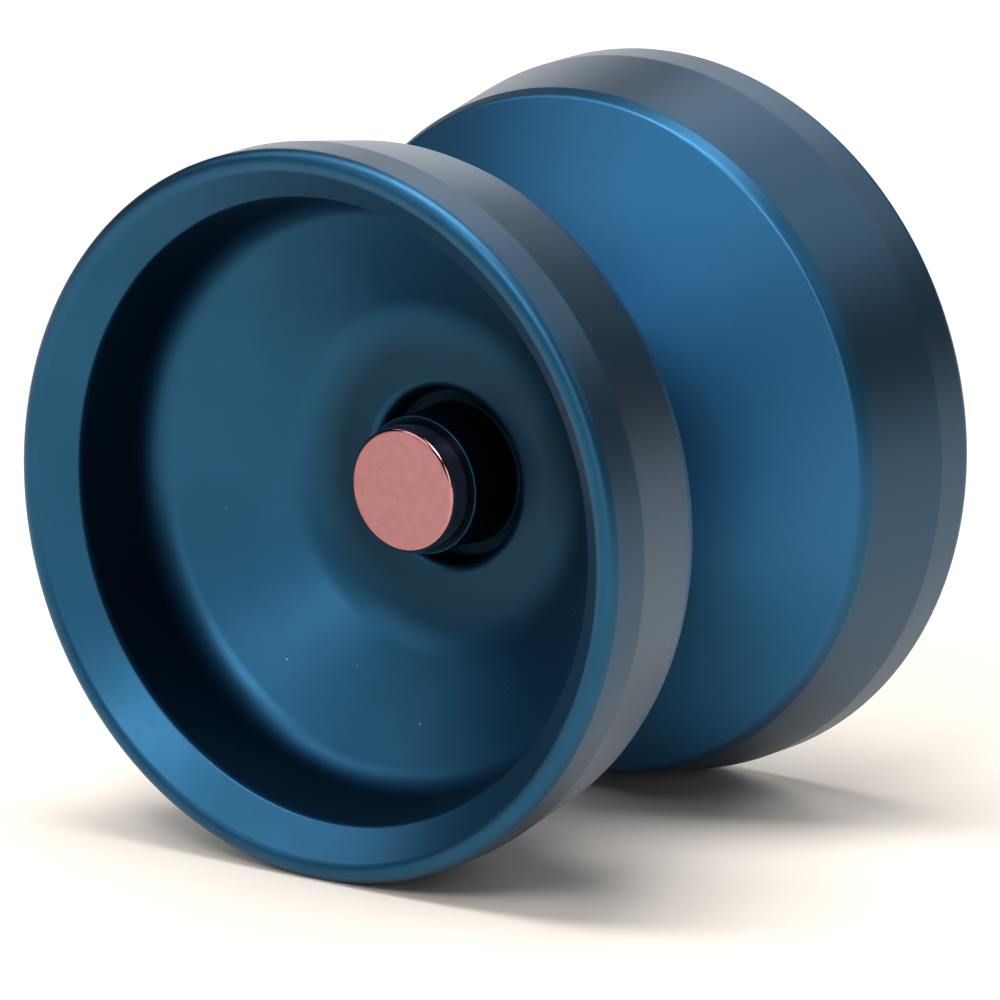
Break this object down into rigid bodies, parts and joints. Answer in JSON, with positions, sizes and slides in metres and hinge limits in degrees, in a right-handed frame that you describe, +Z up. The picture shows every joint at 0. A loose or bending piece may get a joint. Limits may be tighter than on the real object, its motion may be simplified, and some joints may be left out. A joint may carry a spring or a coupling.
{
  "type": "yo-yo",
  "caption": "Turned aluminium yo-yo with wide sloping catch faces, deep cups, protruding round hubs, a shielded ball bearing and a screw axle.",
  "frame": {"origin": "centre of the axle, midway between the two halves", "axes": "+Y along the axle towards the far half, +Z up, +X to the right of someone facing the near half"},
  "size_m": [0.056, 0.0462, 0.056],
  "materials": {
    "anodised_body": "bead-blasted satin, deep blue anodised",
    "anodised_hub": "dusty pink anodised, satin face and polished edge",
    "pad_silicone": "matte translucent white silicone",
    "race_steel": "ground bearing steel",
    "ball_steel": "polished bearing balls",
    "shield_steel": "bright pressed steel",
    "spring_steel": "bright spring wire",
    "screw_steel": "dark stainless threaded steel"
  },
  "bodies": {
    "near_half": {"body_half_near": "anodised_body", "hub_stud_near": "anodised_hub", "response_pad_near": "pad_silicone", "bearing_inner_race": "race_steel"},
    "axle_screw": {"axle": "screw_steel"},
    "far_half": {"body_half_far": "anodised_body", "hub_stud_far": "anodised_hub", "response_pad_far": "pad_silicone"},
    "bearing_outer": {"bearing_outer_race": "race_steel", "bearing_shield_near": "shield_steel", "bearing_shield_far": "shield_steel", "snap_ring_near": "spring_steel", "snap_ring_far": "spring_steel"},
    "cage": {"ball_cage": "shield_steel"},
    "ball_1": {"bearing_ball_1": "ball_steel"},
    "ball_2": {"bearing_ball_2": "ball_steel"},
    "ball_3": {"bearing_ball_3": "ball_steel"},
    "ball_4": {"bearing_ball_4": "ball_steel"},
    "ball_5": {"bearing_ball_5": "ball_steel"},
    "ball_6": {"bearing_ball_6": "ball_steel"},
    "ball_7": {"bearing_ball_7": "ball_steel"},
    "ball_8": {"bearing_ball_8": "ball_steel"}
  },
  "joints": [
    {"name": "outer_race_spin", "type": "hinge", "parent": "near_half", "child": "bearing_outer", "pos_m": [0, 0, 0], "axis": [0, 1, 0], "continuous": true},
    {"name": "cage_spin", "type": "hinge", "parent": "near_half", "child": "cage", "pos_m": [0, 0, 0], "axis": [0, 1, 0], "continuous": true},
    {"name": "halves_unscrew", "type": "hinge", "parent": "near_half", "child": "axle_screw", "pos_m": [0, 0, 0], "axis": [0, 1, 0], "range_deg": [0, 2880]},
    {"name": "halves_part", "type": "slide", "parent": "axle_screw", "child": "far_half", "axis": [0, 1, 0], "range_m": [0, 0.0056]},
    {"name": "ball_1_roll", "type": "hinge", "parent": "cage", "child": "ball_1", "pos_m": [0.00476, 0, 0], "axis": [0, 1, 0], "continuous": true},
    {"name": "ball_2_roll", "type": "hinge", "parent": "cage", "child": "ball_2", "pos_m": [0.00337, 0, 0.00337], "axis": [0, 1, 0], "continuous": true},
    {"name": "ball_3_roll", "type": "hinge", "parent": "cage", "child": "ball_3", "pos_m": [0, 0, 0.00476], "axis": [0, 1, 0], "continuous": true},
    {"name": "ball_4_roll", "type": "hinge", "parent": "cage", "child": "ball_4", "pos_m": [-0.00337, 0, 0.00337], "axis": [0, 1, 0], "continuous": true},
    {"name": "ball_5_roll", "type": "hinge", "parent": "cage", "child": "ball_5", "pos_m": [-0.00476, 0, 0], "axis": [0, 1, 0], "continuous": true},
    {"name": "ball_6_roll", "type": "hinge", "parent": "cage", "child": "ball_6", "pos_m": [-0.00337, 0, -0.00337], "axis": [0, 1, 0], "continuous": true},
    {"name": "ball_7_roll", "type": "hinge", "parent": "cage", "child": "ball_7", "pos_m": [0, 0, -0.00476], "axis": [0, 1, 0], "continuous": true},
    {"name": "ball_8_roll", "type": "hinge", "parent": "cage", "child": "ball_8", "pos_m": [0.00337, 0, -0.00337], "axis": [0, 1, 0], "continuous": true}
  ],
  "couplings": [
    {"joint": "cage_spin", "follows": "outer_race_spin", "ratio": 0.58333},
    {"joint": "halves_part", "follows": "halves_unscrew", "m_per_rad": 0.00011141},
    {"joint": "ball_1_roll", "follows": "outer_race_spin", "ratio": 2.9167},
    {"joint": "ball_2_roll", "follows": "outer_race_spin", "ratio": 2.9167},
    {"joint": "ball_3_roll", "follows": "outer_race_spin", "ratio": 2.9167},
    {"joint": "ball_4_roll", "follows": "outer_race_spin", "ratio": 2.9167},
    {"joint": "ball_5_roll", "follows": "outer_race_spin", "ratio": 2.9167},
    {"joint": "ball_6_roll", "follows": "outer_race_spin", "ratio": 2.9167},
    {"joint": "ball_7_roll", "follows": "outer_race_spin", "ratio": 2.9167},
    {"joint": "ball_8_roll", "follows": "outer_race_spin", "ratio": 2.9167}
  ]
}
